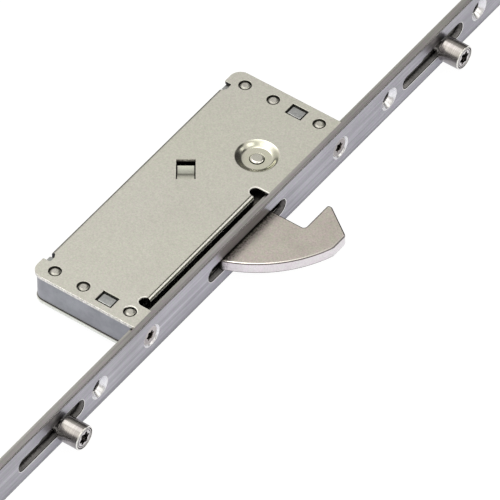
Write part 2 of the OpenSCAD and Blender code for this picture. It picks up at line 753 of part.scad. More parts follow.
// Shouldered pin staked into the dish and the back plate
module hook_pivot_pin() color([0.74, 0.73, 0.70]) {
    along_z(inner_low, dish_under, pivot_d / 2, pivot_x, pivot_y);
    along_z(back_low + 0.1, inner_low + 1, pivot_end_d / 2, pivot_x, pivot_y);
    along_z(dish_under - 1, dish_floor + 0.2, pivot_end_d / 2, pivot_x, pivot_y);
    translate([pivot_x, pivot_y, dish_floor + 0.2])
        cylinder(h = 0.4, d1 = pivot_end_d, d2 = pivot_end_d - 1);
}

module ring(z0, z1, d) difference() {
    along_z(z0, z1, d / 2, pivot_x, pivot_y);
    along_z(z0 - 1, z1 + 1, pivot_d / 2 + run_fit, pivot_x, pivot_y);
}
module hook_top_washer() color([0.7, 0.68, 0.6])
    ring(hook_top + side_fit / 2, dish_under - side_fit / 2, top_washer_d);
module hook_bottom_spacer() color([0.7, 0.68, 0.6])
    ring(inner_low + side_fit / 2, hook_low - side_fit / 2, spacer_d);

// Plate on the rod that turns its slide into the hook's swing. Two tabs key it
// into the rod, and a cross slot carries the hook's drive pin
module drive_carriage() color([0.68, 0.68, 0.66]) {
    difference() {
        union() {
            block(carriage_rear, rod_back, carriage_y0, carriage_y1, carriage_low, carriage_top);
            for (y = carriage_tabs)
                block(rod_back - 1, rod_front, y, y + carriage_tab_w, -rod_w / 2, carriage_top);
        }
        // Cross slot for the drive pin
        along_z(carriage_low - 1, carriage_top + 1, yoke_w / 2, drive_x, drive_y);
        block(drive_x, rod_back + 1, drive_y - yoke_w / 2, drive_y + yoke_w / 2,
            carriage_low - 1, carriage_top + 1);
        // Long slot for the guide stud
        slot_z(carriage_low - 1, carriage_top + 1, stud_x, stud_y - stud_d / 2 - slot_fit,
            stud_y + rod_travel + stud_d / 2 + slot_fit, stud_d + 2 * side_fit);
        // Notches that the detent spring's nose drops into at each end of the travel
        for (y = [nose_y, nose_y + rod_travel])
            translate([carriage_rear, y, carriage_low - 1])
                linear_extrude(height = carriage_top - carriage_low + 2)
                    polygon([[-0.1, -notch_half * (1 + 0.1 / notch_in)], [notch_in, 0],
                        [-0.1, notch_half * (1 + 0.1 / notch_in)]]);
    }
}

module carriage_guide_stud() color([0.7, 0.7, 0.7]) {
    along_z(inner_low, carriage_top - side_fit, stud_d / 2, stud_x, stud_y);
    along_z(back_low + 0.1, inner_low + 1, stud_d / 2 - 0.4, stud_x, stud_y);
}

// Flat spring from the lower end block. Its nose rests in one of the carriage's
// notches at each end of the travel
spring_foot = 5;
module detent_spring() color([0.5, 0.52, 0.55]) {
    x0 = spring_line;
    x1 = spring_line + spring_t;
    tip = carriage_rear + notch_in - hole_fit;
    half = (tip - x1) * notch_half / notch_in;
    translate([0, 0, spring_z - spring_w / 2])
        linear_extrude(height = spring_w)
            polygon([[x0, -block_in - spring_foot + hole_fit], [x1, -block_in - spring_foot + hole_fit],
                [x1, nose_y - half], [tip, nose_y], [x1, nose_y + half], [x1, nose_y + half + 3],
                [x0, nose_y + half + 3], [x0, nose_y + half * 0.8], [tip - spring_t * 1.8, nose_y],
                [x0, nose_y - half * 0.8]]);
}

// Eccentric stud: it turns in the rod for adjustment, and its journal carries the
// sleeve, set off along the faceplate when the adjustment is at its middle
stud_shank_d = 5.4;
stud_head_d = 6.8;
stud_head_t = 0.6;
stud_head_x = rod_back - rod_play - stud_head_t;
module roller_stud(y) color([0.62, 0.61, 0.6]) difference() {
    union() {
        along_x(stud_head_x, rod_back - rod_play, stud_head_d / 2, stud_head_d / 2, y);
        along_x(stud_head_x + 0.1, plate_back - side_fit, stud_shank_d / 2, stud_shank_d / 2, y);
        along_x(rod_front - 1, collar_x + collar_t, neck_d / 2, neck_d / 2, y);
        along_x(collar_x, collar_x + collar_t, collar_d / 2, collar_d / 2, y);
        along_x(collar_x + 0.1, sleeve_out - 0.1, journal_d / 2, journal_d / 2, y + eccentric);
        along_x(end_flange_x, sleeve_out - 0.1, end_flange_d / 2, end_flange_d / 2, y + eccentric);
    }
    star_socket(sleeve_out - 0.1, stud_socket_in, y + eccentric, stud_socket_d);
    // Line between the journal's staked end and the flange round it
    difference() {
        along_x(sleeve_out - 0.4, sleeve_out, journal_d / 2 + 0.35, journal_d / 2 + 0.35, y + eccentric);
        along_x(sleeve_out - 1, sleeve_out + 1, journal_d / 2 + 0.1, journal_d / 2 + 0.1, y + eccentric);
    }
}
module roller_stud_lower() roller_stud(rollers[0]);
module roller_stud_upper() roller_stud(rollers[1]);

module roller_sleeve(y) color([0.66, 0.64, 0.62]) {
    x0 = collar_x + collar_t + side_fit;
    chamfer = 0.25;
    r = sleeve_d / 2;
    difference() {
        union() {
            along_x(x0, x0 + chamfer, r - chamfer, r, y + eccentric);
            along_x(x0 + chamfer, sleeve_out - chamfer, r, r, y + eccentric);
            along_x(sleeve_out - chamfer, sleeve_out, r, r - chamfer, y + eccentric);
        }
        along_x(x0 - 1, sleeve_out + 1, journal_d / 2 + run_fit, journal_d / 2 + run_fit, y + eccentric);
        along_x(end_flange_x - side_fit, sleeve_out + 1, end_flange_d / 2 + end_gap,
            end_flange_d / 2 + end_gap, y + eccentric);
    }
}
module roller_sleeve_lower() roller_sleeve(rollers[0]);
module roller_sleeve_upper() roller_sleeve(rollers[1]);

// Shouldered stud staked to the faceplate, which keeps the rod behind it
guide_tail_t = 0.8;
module guide_stud(y) color([0.66, 0.65, 0.64]) {
    shoulder = rod_back - rod_play;
    along_x(shoulder, plate_back, guide_d / 2, guide_d / 2, y);
    along_x(shoulder - guide_washer_t - guide_tail_t, 0, guide_end_d / 2, guide_end_d / 2, y);
    along_x(-(guide_head_d - guide_end_d) / 2, 0, guide_end_d / 2, guide_head_d / 2, y);
    along_x(shoulder - guide_washer_t - guide_tail_t, shoulder - guide_washer_t,
        guide_d / 2 - 0.6, guide_d / 2, y);
}
module guide_stud_lower() guide_stud(guides[0]);
module guide_stud_upper() guide_stud(guides[1]);

module guide_washer(y) color([0.6, 0.6, 0.6]) {
    shoulder = rod_back - rod_play;
    difference() {
        along_x(shoulder - guide_washer_t, shoulder, guide_washer_d / 2, guide_washer_d / 2, y);
        along_x(shoulder - guide_washer_t - 1, shoulder + 1, guide_end_d / 2 + hole_fit,
            guide_end_d / 2 + hole_fit, y);
    }
}
module guide_washer_lower() guide_washer(guides[0]);
module guide_washer_upper() guide_washer(guides[1]);

// The origin lies on the faceplate's rear face
translate([plate_t, 0, 0]) {
    faceplate();
    drive_rod();
    rod_coupling();
    coupling_rivets();
    case_cover();
    case_back_plate();
    end_block_lower();
    end_block_upper();
    case_rivets_lower();
    case_rivets_upper();
    case_screw_lower();
    case_screw_upper();
    hook();
    hook_drive_pin();
    hook_pivot_pin();
    hook_top_washer();
    hook_bottom_spacer();
    drive_carriage();
    carriage_guide_stud();
    detent_spring();
    roller_stud_lower();
    roller_stud_upper();
    roller_sleeve_lower();
    roller_sleeve_upper();
    guide_stud_lower();
    guide_stud_upper();
    guide_washer_lower();
    guide_washer_upper();
}
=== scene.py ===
"""Looks for the hook section of a multipoint door lock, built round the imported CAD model."""
import json
import math
from collections import namedtuple

import bmesh
import bpy
from mathutils import Matrix, Vector


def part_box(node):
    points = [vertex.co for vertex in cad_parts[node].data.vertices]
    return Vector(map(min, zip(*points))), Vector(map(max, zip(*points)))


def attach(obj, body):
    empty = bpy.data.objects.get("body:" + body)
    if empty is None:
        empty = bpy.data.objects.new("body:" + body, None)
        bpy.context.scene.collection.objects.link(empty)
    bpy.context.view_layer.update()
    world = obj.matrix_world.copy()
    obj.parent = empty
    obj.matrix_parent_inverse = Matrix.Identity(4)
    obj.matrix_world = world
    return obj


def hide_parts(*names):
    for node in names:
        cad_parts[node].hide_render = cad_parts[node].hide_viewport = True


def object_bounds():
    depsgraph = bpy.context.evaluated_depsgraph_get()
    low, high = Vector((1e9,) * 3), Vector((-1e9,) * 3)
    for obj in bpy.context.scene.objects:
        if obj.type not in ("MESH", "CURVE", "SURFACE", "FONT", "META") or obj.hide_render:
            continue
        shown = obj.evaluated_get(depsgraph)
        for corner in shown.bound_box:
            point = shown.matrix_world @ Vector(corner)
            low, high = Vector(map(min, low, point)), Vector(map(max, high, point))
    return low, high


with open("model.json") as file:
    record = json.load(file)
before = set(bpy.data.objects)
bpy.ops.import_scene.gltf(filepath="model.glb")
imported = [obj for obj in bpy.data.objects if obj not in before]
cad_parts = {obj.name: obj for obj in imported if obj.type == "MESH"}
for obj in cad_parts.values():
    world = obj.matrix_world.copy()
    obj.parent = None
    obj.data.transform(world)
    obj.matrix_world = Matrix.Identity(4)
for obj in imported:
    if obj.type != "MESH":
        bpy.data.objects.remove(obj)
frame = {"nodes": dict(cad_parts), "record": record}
cad_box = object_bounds()
cad_nodes = frame["nodes"]
record = frame["record"]
bodies = record["behaviour"]["bodies"]
body_of_node = {node: body for body, members in bodies.items() for node in members}
slot_of_node = {part["node"]: part["material_slot"] for part in record["subparts"]}

MM = 0.001
X, Y, Z = 0, 1, 2
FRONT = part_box("faceplate")[1].x
COVER_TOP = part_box("case_cover")[1].z
COVER_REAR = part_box("case_cover")[0].x
PIVOT = (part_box("hook_pivot_pin")[0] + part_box("hook_pivot_pin")[1]) / 2


def srgb(red, green, blue):
    """Linear colour of an 8-bit display colour."""
    linear = []
    for value in (red, green, blue):
        share = value / 255
        linear.append(((share + 0.055) / 1.055) ** 2.4 if value > 10 else share / 12.92)
    return (*linear, 1.0)


def grey(value):
    return (value, value, value, 1.0)


# The numbers of the Mix node's colour sockets
MIX_FIRST, MIX_SECOND, MIX_RESULT = 6, 7, 2


class Shader:
    """Short hand for building the node tree of a material or of the world."""

    def __init__(self, owner):
        owner.use_nodes = True
        self.tree = owner.node_tree
        self.places = self.tree.nodes.new("ShaderNodeTexCoord").outputs

    def feed(self, node, inputs):
        """Link a node's sockets to outputs, or set them where they get a plain value."""
        for key, value in inputs.items():
            if isinstance(value, bpy.types.NodeSocket):
                self.tree.links.new(value, node.inputs[key])
            else:
                node.inputs[key].default_value = value

    def made(self, kind, output, inputs, **settings):
        """Add a node of a kind, feed its inputs and give one of its outputs."""
        node = self.tree.nodes.new(kind)
        for key, value in settings.items():
            setattr(node, key, value)
        self.feed(node, inputs)
        return node.outputs[output]

    def mapped(self, scale):
        """Object coordinates stretched by scale, so a texture can run along one axis."""
        return self.made("ShaderNodeMapping", "Vector",
                         {"Vector": self.places["Object"], "Scale": scale})

    def noise(self, vector, scale, detail=3.0, rough=0.55):
        return self.made("ShaderNodeTexNoise", "Fac",
                         {"Vector": vector, "Scale": scale, "Detail": detail, "Roughness": rough})

    def ramp(self, factor, stops):
        colours = self.made("ShaderNodeValToRGB", "Color", {"Fac": factor})
        elements = colours.node.color_ramp.elements
        while len(elements) < len(stops):
            elements.new(0.5)
        for element, (place, colour) in zip(elements, stops):
            element.position = place
            element.color = colour
        return colours

    def remap(self, value, low, high, new_low=0.0, new_high=1.0, smooth=False):
        return self.made("ShaderNodeMapRange", "Result",
                         {"Value": value, "From Min": low, "From Max": high,
                          "To Min": new_low, "To Max": new_high},
                         interpolation_type="SMOOTHSTEP" if smooth else "LINEAR")

    def mix(self, factor, first, second, mode="MIX"):
        return self.made("ShaderNodeMix", MIX_RESULT,
                         {"Factor": factor, MIX_FIRST: first, MIX_SECOND: second},
                         data_type="RGBA", blend_type=mode)

    def dimmed(self, colour, factor, stops):
        """Colour times a ramp that reads the factor."""
        return self.mix(1.0, colour, self.ramp(factor, stops), "MULTIPLY")

    def combined(self, operation, first, second):
        return self.made("ShaderNodeMath", "Value", {0: first, 1: second}, operation=operation)

    def along(self, vector, direction):
        """How far a vector reaches in a direction."""
        return self.made("ShaderNodeVectorMath", "Value", {0: vector, 1: direction},
                         operation="DOT_PRODUCT")

    def bump(self, height, strength, distance):
        return self.made("ShaderNodeBump", "Normal",
                         {"Height": height, "Strength": strength, "Distance": distance})

    def crevice(self, reach, inside=False):
        """How open the surface is within reach, in mm: 0 deep in a corner, 1 in the open."""
        return self.made("ShaderNodeAmbientOcclusion", "AO", {"Distance": reach * MM},
                         inside=inside, samples=8)


# Scales of the tint, the broad streaks and the flecks, as shares of a metal's mottle,
# streak_scale and grain
TINT_SCALE, BROAD_SCALE, FLECK_SCALE = 0.45, 0.12, 0.6
# Scale of the coordinates along streaks and along rings, which draws these out
STREAK_DRAW, RING_DRAW = 0.012, 0.02
RAGGED_SCALE = 1400.0
BUMP_DEPTH = 0.04 * MM
ROUGH_SPREAD = 0.05
# Pale colour of convex edges, for wear and as a painted highlight, and the reach in mm of the edge test
WEAR_AND_SHEEN_COLOUR, WEAR_AND_SHEEN_REACH = (236, 232, 224), 0.3

# A painted shade along a direction: brightness goes from low at start to full at end, both in mm,
# and how ragged it is
Fade = namedtuple("Fade", "direction start end low ragged")


def drawn_out(streak, ring_axis):
    """Scale of the coordinates for streaks along an axis or rings about one."""
    if ring_axis is None:
        scale = [1.0, 1.0, 1.0]
        scale[streak] = STREAK_DRAW
    else:
        scale = [RING_DRAW, RING_DRAW, RING_DRAW]
        scale[ring_axis] = 1.0
    return tuple(scale)


def metal(name, light, dark, tint, rough, mottle=90.0, grain=2600.0, grain_depth=0.07, streak=None,
          streak_scale=5200.0, bump=0.12, corner_shade=0.12, corner_shade_reach=1.6, wear_and_sheen=0.25, ring_axis=None,
          metallic=1.0, hues=0.02, fade=None):
    """Plated, cast or brushed metal: clouds of two tones and a tint, fine grain or streaks
    along an axis or rings about one, green and pink flecks, pale edges that are worn and also
    a painted highlight, and painted shade deep in its corners and along a fade. Mottle, grain
    and streak_scale are noise scales per metre, grain_depth and hues say how much the grain and
    the flecks take away, corner_shade is the painted shade's brightness deep in a corner,
    corner_shade_reach is in mm, and wear_and_sheen is how far an edge goes to its pale colour."""
    material = bpy.data.materials.new(name)
    shader = Shader(material)
    plain = shader.mapped((1, 1, 1))
    grain_stops = [(0.3, grey(1 - grain_depth)), (0.7, grey(1.0))]
    clouds = shader.noise(plain, mottle, detail=4.0, rough=0.6)
    colour = shader.ramp(clouds, [(0.32, srgb(*dark)), (0.68, srgb(*light))])
    tinted = shader.remap(shader.noise(plain, mottle * TINT_SCALE), 0.4, 0.62, 0.0, 0.5)
    colour = shader.mix(tinted, colour, srgb(*tint))
    if streak is None and ring_axis is None:
        texture = shader.noise(plain, grain, detail=2.0, rough=0.7)
    else:
        lines = shader.mapped(drawn_out(streak, ring_axis))
        texture = shader.noise(lines, streak_scale, detail=4.0, rough=0.65)
        broad = shader.noise(lines, streak_scale * BROAD_SCALE, rough=0.6)
        colour = shader.dimmed(colour, broad, grain_stops)
    colour = shader.dimmed(colour, texture, grain_stops)
    flecks = shader.noise(plain, grain * FLECK_SCALE, detail=2.0, rough=0.6)
    green = (1 - hues, 1.0, 1 - hues, 1.0)
    pink = (1.0, 1 - hues, 1.0, 1.0)
    colour = shader.dimmed(colour, flecks, [(0.4, green), (0.6, pink)])
    # Convex edges go towards the pale colour: wear, and a painted highlight along the edges
    edge = shader.remap(shader.crevice(WEAR_AND_SHEEN_REACH, inside=True), 0.55, 0.95, wear_and_sheen, 0.0)
    colour = shader.mix(edge, colour, srgb(*WEAR_AND_SHEEN_COLOUR))
    # Painted shade: darker along a direction, made ragged by noise
    if fade is not None:
        level = shader.remap(shader.along(shader.places["Object"], fade.direction),
                             fade.start * MM, fade.end * MM)
        uneven = shader.remap(shader.noise(plain, RAGGED_SCALE, rough=0.7), 0.35, 0.65,
                              -fade.ragged, fade.ragged)
        colour = shader.dimmed(colour, shader.combined("ADD", level, uneven),
                               [(0.1, grey(fade.low)), (0.7, grey(1.0))])
    # Painted shade: the colour darkens deep in corners, recesses and slots
    colour = shader.dimmed(colour, shader.crevice(corner_shade_reach), [(0.25, grey(corner_shade)), (0.8, grey(1.0))])
    shader.feed(shader.tree.nodes["Principled BSDF"], {
        "Base Color": colour,
        "Roughness": shader.remap(clouds, 0.3, 0.7, rough + ROUGH_SPREAD, rough - ROUGH_SPREAD),
        "Normal": shader.bump(texture, bump, BUMP_DEPTH),
        "Metallic": metallic,
    })
    return material


# Way up the slope of the cover's tongue, from its free end to its bend
TONGUE_WAY = (0.59, -0.81, 0)
# Marks of a lathe, with their rings round X
TURNED = {"ring_axis": X, "streak_scale": 3000.0}

# One material for each slot of the record, with painted shade in corners and a partly painted highlight
# on edges
MATERIALS = {
    "cover": metal("cover_zinc", (217, 216, 208), (211, 210, 201), (214, 215, 202), rough=0.4,
                   mottle=60.0, grain=1900.0, grain_depth=0.2, hues=0.03),
    "back_plate": metal("back_zinc", (182, 180, 174), (166, 164, 158), (174, 176, 164), rough=0.4),
    "faceplate": metal("face_steel", (206, 204, 208), (190, 188, 193), (200, 197, 205), rough=0.32,
                       mottle=45.0, grain=1500.0, streak=Y, grain_depth=0.36, bump=0.35,
                       corner_shade=0.08, corner_shade_reach=3.0, hues=0.05),
    # The rod goes black in its slots and deep corners: painted shade
    "drive_rod": metal("rod_zinc", (184, 183, 180), (166, 165, 162), (176, 177, 170), rough=0.36,
                       mottle=60.0, streak=Y, grain_depth=0.16, bump=0.2, corner_shade=0.0, corner_shade_reach=3.0),
    "end_block": metal("block_cast", (160, 162, 166), (148, 150, 154), (156, 156, 161), rough=0.4,
                       mottle=140.0, streak=Y, streak_scale=3600.0, grain_depth=0.1, wear_and_sheen=0.1),
    "rivet": metal("rivet_steel", (206, 204, 198), (176, 174, 168), (196, 197, 186), rough=0.42,
                   mottle=700.0, grain=2800.0, grain_depth=0.16, bump=0.5, corner_shade=0.03, corner_shade_reach=0.9),
    "screw": metal("screw_nickel", (214, 206, 202), (190, 182, 179), (204, 198, 193), rough=0.2,
                   mottle=300.0, ring_axis=X, streak_scale=1500.0, grain_depth=0.4, bump=0.3,
                   corner_shade=0.02, corner_shade_reach=1.2),
    # The hook darkens towards the faceplate in ragged painted shade
    "hook": metal("hook_cast", (216, 210, 202), (198, 192, 184), (212, 203, 197), rough=0.34,
                  mottle=120.0, grain=1700.0, grain_depth=0.24, bump=0.5, corner_shade=0.08, corner_shade_reach=3.0,
                  hues=0.05, fade=Fade((1, 0, 0), 1.4, 5.4, low=0.24, ragged=0.4)),
    "pin": metal("pin_steel", (212, 210, 203), (192, 190, 183), (206, 206, 195), rough=0.3,
                 mottle=300.0, ring_axis=Z, streak_scale=3000.0, grain_depth=0.08),
    "washer": metal("washer_steel", (196, 193, 184), (176, 173, 164), (190, 190, 176), rough=0.35,
                    mottle=200.0),
    "carriage": metal("carriage_cast", (182, 182, 180), (164, 164, 162), (176, 178, 170), rough=0.4),
    "spring": metal("spring_steel", (140, 144, 150), (112, 116, 122), (130, 134, 146), rough=0.3,
                    mottle=200.0, streak=Y),
    "roller": metal("roller_steel", (192, 188, 184), (170, 166, 163), (184, 178, 178), rough=0.2,
                    mottle=160.0, grain_depth=0.3, bump=0.4, wear_and_sheen=0.6, corner_shade=0.06, **TURNED),
    "stud": metal("stud_steel", (206, 203, 200), (184, 181, 178), (198, 190, 190), rough=0.24,
                  mottle=240.0, grain_depth=0.1, wear_and_sheen=0.4, corner_shade=0.0, corner_shade_reach=1.3, **TURNED),
    "coupling": metal("coupling_cast", (178, 178, 178), (158, 158, 158), (172, 174, 168), rough=0.42),
}

# Materials of the places where a piece looks different. Many are painted light or shade:
# lighter and darker copies of a piece's metal, painted highlights and dark lines, and painted
# shade in holes, slots and gaps
ZONE_MATERIALS = {
    # Painted shade: the dish's floor darkens across one side, and goes dark close round the pin
    "dish": metal("dish_zinc", (226, 224, 214), (214, 212, 200), (218, 220, 198), rough=0.16,
                  mottle=200.0, grain=1500.0, grain_depth=0.05, bump=0.05, corner_shade=0.0, corner_shade_reach=0.9,
                  fade=Fade((0.81, 0.59, 0), -2.5, 3.0, low=0.5, ragged=0.02)),
    "sink": metal("sink_steel", (240, 239, 240), (228, 227, 230), (236, 236, 238), rough=0.27,
                  mottle=300.0, grain_depth=0.08, bump=0.1, corner_shade=0.3, corner_shade_reach=0.6, metallic=0.9,
                  **TURNED),
    # Slot walls that darken towards the back of the faceplate in painted shade
    "wall": metal("wall_painted_shade_steel", (206, 204, 204), (142, 140, 140), (184, 180, 180), rough=0.5,
                  mottle=120.0, grain=1500.0, streak=Y, streak_scale=1600.0, grain_depth=0.45,
                  bump=0.3, corner_shade=0.5, corner_shade_reach=0.8, metallic=0.0,
                  fade=Fade((1, 0, 0), 0.0, 1.3, low=0.08, ragged=0.25)),
    # Near-black painted shade, put on bores, slot edges, gaps, socket walls and sides in shadow
    "shade": metal("painted_shade_steel", (62, 61, 63), (34, 33, 35), (50, 48, 50), rough=0.35, mottle=200.0,
                   corner_shade=0.0),
    "rim": metal("rim_steel", (204, 201, 200), (182, 179, 179), (195, 191, 195), rough=0.34,
                 mottle=45.0, grain=1500.0, streak=Y, streak_scale=1100.0, grain_depth=0.42,
                 bump=0.3, hues=0.05),
    "fillet": metal("fillet_steel", (196, 194, 194), (182, 180, 181), (190, 187, 190), rough=0.18,
                    mottle=45.0, streak=Y, grain_depth=0.08, bump=0.03),
    "stake": metal("staked_zinc", (182, 184, 184), (150, 152, 154), (172, 174, 174), rough=0.36,
                   mottle=900.0, grain_depth=0.2, bump=0.6, corner_shade=0.1, corner_shade_reach=0.6, wear_and_sheen=0.5),
    # A painted dark line on the faceplate's rounded long edges, standing for a dark reflection
    "fillet_low": metal("fillet_painted_dark_line", (78, 76, 76), (56, 54, 54), (68, 64, 68), rough=0.25,
                        mottle=45.0, streak=Y, grain_depth=0.2, bump=0.1),
    # A darker copy of the cover's zinc on the lip's bend: a painted dark reflection
    "lip": metal("lip_painted_dark_zinc", (140, 142, 128), (104, 106, 94), (122, 126, 106), rough=0.4,
                 mottle=200.0, metallic=0.4),
    # A lighter copy of the stud's steel for its outer end: painted light
    "pale": metal("pale_painted_light_steel", (226, 222, 220), (206, 202, 200), (218, 212, 212), rough=0.22,
                  mottle=300.0, grain_depth=0.2, corner_shade=0.0, corner_shade_reach=0.5, **TURNED),
    # Polished, and lighter than its piece as a painted highlight: slot rims, roller ends, the pin's
    # edge
    "polished_highlight": metal("polished_highlight_zinc", (236, 234, 228), (222, 220, 214), (230, 230, 222), rough=0.15,
                      mottle=300.0),
    # The tongue's slope: the cover's zinc darkening towards the free end in painted shade
    "slope": metal("slope_painted_shade_zinc", (217, 216, 206), (209, 208, 198), (210, 213, 198), rough=0.4,
                   mottle=60.0, grain=1900.0, grain_depth=0.2,
                   fade=Fade(TONGUE_WAY, -25.0, -20.4, low=0.3, ragged=0.05)),
    # A lighter copy of the cover's zinc: painted light on the tongue's flat and the back plate's sides
    "flat": metal("flat_painted_light_zinc", (240, 242, 232), (232, 234, 224), (236, 240, 226), rough=0.4,
                  mottle=60.0, grain=1900.0, grain_depth=0.16),
    # Cut walls of the tongue's window: light at the top as a painted highlight, dark lower down as
    # painted shade
    "cut": metal("cut_painted_light_and_shade_zinc", (244, 242, 234), (214, 212, 202), (230, 230, 216), rough=0.45,
                 mottle=900.0, grain=1400.0, grain_depth=0.5, bump=1.0, corner_shade=0.6, metallic=0.2,
                 fade=Fade((0, 0, 1), 5.3, 5.95, low=0.16, ragged=0.25)),
    # Near-white painted highlight for lines along the lip's bend and the rims of the tongue and relief
    # slots
    "bright": metal("painted_highlight_zinc", (252, 251, 246), (240, 239, 232), (248, 248, 240), rough=0.3,
                    mottle=600.0, grain=1800.0, grain_depth=0.15, corner_shade=0.7, metallic=0.3),
    # The cover's cut ends: speckled, and lighter as a painted highlight
    "end_edge": metal("end_edge_cut_and_highlight_zinc", (244, 242, 236), (200, 198, 190), (230, 228, 220), rough=0.25,
                      mottle=1100.0, grain=1600.0, grain_depth=0.4, bump=0.8),
    # A painted dark reflection along part of the hook's rounded edge
    "hook_dark": metal("hook_painted_dark_line_cast", (120, 113, 110), (92, 86, 84), (108, 98, 98), rough=0.2,
                       mottle=120.0),
    # The hook's sides: a lighter copy of its metal as painted light, darkening towards the faceplate in
    # painted shade
    "hook_side": metal("hook_side_painted_light_and_shade_cast", (232, 228, 228), (216, 210, 210), (226, 218, 220), rough=0.3,
                       mottle=120.0, grain=1700.0, grain_depth=0.16, bump=0.4, corner_shade=0.1,
                       corner_shade_reach=3.0, hues=0.03,
                       fade=Fade((1, 0, 0), 0.5, 6.0, low=0.2, ragged=0.2)),
    # The hook's rounded edges: polished, and lighter as a painted highlight
    "hook_edge": metal("hook_edge_polish_and_highlight_cast", (240, 236, 230), (226, 222, 216), (234, 228, 222), rough=0.14,
                       mottle=120.0, grain=1700.0, grain_depth=0.08, bump=0.15, corner_shade=0.1,
                       corner_shade_reach=3.0),
    # A darker copy of the cover's zinc: a painted dark line at the lip's start and along the rear bend
    "back_edge": metal("painted_dark_line_zinc", (150, 148, 140), (120, 118, 112), (140, 140, 126), rough=0.3,
                       mottle=300.0),
}

# Limits of a face normal's share along an axis. Below UPRIGHT the face runs along the
# axis, below STEEP nearly so, and above LEVEL it lies square to it, above BENT nearly so
UPRIGHT, STEEP, BENT, LEVEL = 0.3, 0.6, 0.95, 0.97
# The same for the faceplate's front: its flat, and where an edge's bevel changes colour
FRONT_FLAT, SLOT_SPLIT, FILLET_SPLIT = 0.98, 0.7, 0.55
# The hook's rounded edge gets a painted dark reflection where it faces away from this way in X and Y
HOOK_WAY = (0.404, -0.553)

# Places on the part, all in mm.
# The dish: its radius, and how far below the cover's top it starts
DISH_REACH, DISH_START = 7.7, 0.03
# The tongue in its window: their X and Y ranges, how far below the cover's top the slope
# and the flat count, and where the window's far end lies along TONGUE_WAY
TONGUE_X, TONGUE_Y, TONGUE_DEPTH, WINDOW_END = (-35, -23), (3.5, 15.5), 0.4, -28.9
# The lip: its X and Y ranges, and the height at which its bend ends
LIP_X, LIP_Y, LIP_BEND = (-5.6, -4.1), (-43.2, 12.7), 4.6
# The relief slots at the lip's ends: their places along Y, the X from which they lie, how
# far their walls and their rims reach from there, and how deep the rims are
RELIEFS, RELIEF_START = (-45.0, 14.5), -14
RELIEF_WALLS, RELIEF_RIMS, RIM_DEPTH = 2.2, 6, 0.3
# The cover's ends and its rear wall's ends along Y, and where the rear notches end
COVER_END, WALL_END, NOTCH_END = 55.5, 45.2, 49.5
# How far the notches and the rear wall's bend reach in from the cover's rear
NOTCH_DEPTH, BEND_DEPTH = 3, 2
# The faceplate's holes and case screws along Y, and how far round each they count
HOLES, HOLE_REACH = (-154.0, -78.5, 78.5, 129.5, -51.2, 51.2), 4.4
# Half widths of the holes' cones, the slots, their rims and the rod's slots, and how far
# from the origin the faceplate's slots may lie along Y
SINK_HALF, SLOT_HALF, SLOT_RIM_HALF, ROD_SLOT_HALF, SLOTS_END = 4.2, 3.6, 3.7, 4.2, 158
# Half width of the faceplate from which its long sides and their rounded edges start
RIM_START, FILLET_START = 7, 7.2
# The X from which the outer ends of the rollers and their studs lie
OUTER_END = 9
# The star sockets' walls in painted shade: their radius and the X from which they lie
STUD_STAR, SCREW_STAR = (2.1, 8.0), (1.5, -1.0)


def radius_about(point, centre, axis):
    """Distance in mm of a point from a line through centre along the axis."""
    away = point - centre
    away[axis] = 0.0
    return away.length / MM


def within(value, limits):
    """True for a coordinate between limits that are in mm."""
    return limits[0] * MM < value < limits[1] * MM


def near_hole(centre):
    return any(abs(centre.y / MM - place) < HOLE_REACH for place in HOLES)


def near_tongue(centre):
    return within(centre.x, TONGUE_X) and within(centre.y, TONGUE_Y)


def near_relief(centre, reach):
    """True within reach of one of the relief slots at the ends of the cover's lip."""
    return centre.x > RELIEF_START * MM and min(abs(centre.y / MM - place) for place in RELIEFS) < reach


# Tests for the zones. Each takes the centre and the normal of a face
def in_dish(centre, normal):
    return radius_about(centre, PIVOT, Z) < DISH_REACH and centre.z < COVER_TOP - DISH_START * MM


def on_slope(centre, normal):
    return near_tongue(centre) and 0.5 < normal.z < LEVEL and centre.z < COVER_TOP - TONGUE_DEPTH * MM


def on_tongue_flat(centre, normal):
    return near_tongue(centre) and normal.z >= LEVEL and centre.z < COVER_TOP - TONGUE_DEPTH * MM


def on_tongue_rim(centre, normal):
    return near_tongue(centre) and UPRIGHT < normal.z < LEVEL


def on_tongue_cut(centre, normal):
    return near_tongue(centre) and abs(normal.z) < UPRIGHT


def in_relief(centre, normal):
    return abs(normal.z) < STEEP and near_relief(centre, RELIEF_WALLS)


def on_relief_rim(centre, normal):
    rounded = UPRIGHT < normal.z < LEVEL and abs(normal.x) < BENT
    return rounded and centre.z > COVER_TOP - RIM_DEPTH * MM and near_relief(centre, RELIEF_RIMS)


def on_lip(centre, normal):
    return within(centre.x, LIP_X) and within(centre.y, LIP_Y) and normal.x > 0.15


def on_lip_start(centre, normal):
    return on_lip(centre, normal) and normal.x < 0.4


def on_lip_bend(centre, normal):
    bent = normal.x < 0.75 or normal.x > LEVEL
    return on_lip(centre, normal) and bent and centre.z > LIP_BEND * MM


def on_lip_wall(centre, normal):
    return on_lip(centre, normal) and centre.z < LIP_BEND * MM


def at_cover_end(centre, normal):
    return abs(normal.y) > UPRIGHT and abs(centre.y) > COVER_END * MM


def at_notch(centre, normal):
    by_rear = centre.x < COVER_REAR + NOTCH_DEPTH * MM
    return by_rear and abs(normal.y) > STEEP and WALL_END - 1 < abs(centre.y) / MM < NOTCH_END


def at_rear_bend(centre, normal):
    by_rear = centre.x < COVER_REAR + BEND_DEPTH * MM and abs(centre.y) < WALL_END * MM
    return by_rear and -BENT < normal.x < -0.4 and normal.z > 0.2


def in_sink(centre, normal):
    return UPRIGHT < normal.x < BENT and abs(centre.z) < SINK_HALF * MM and near_hole(centre)


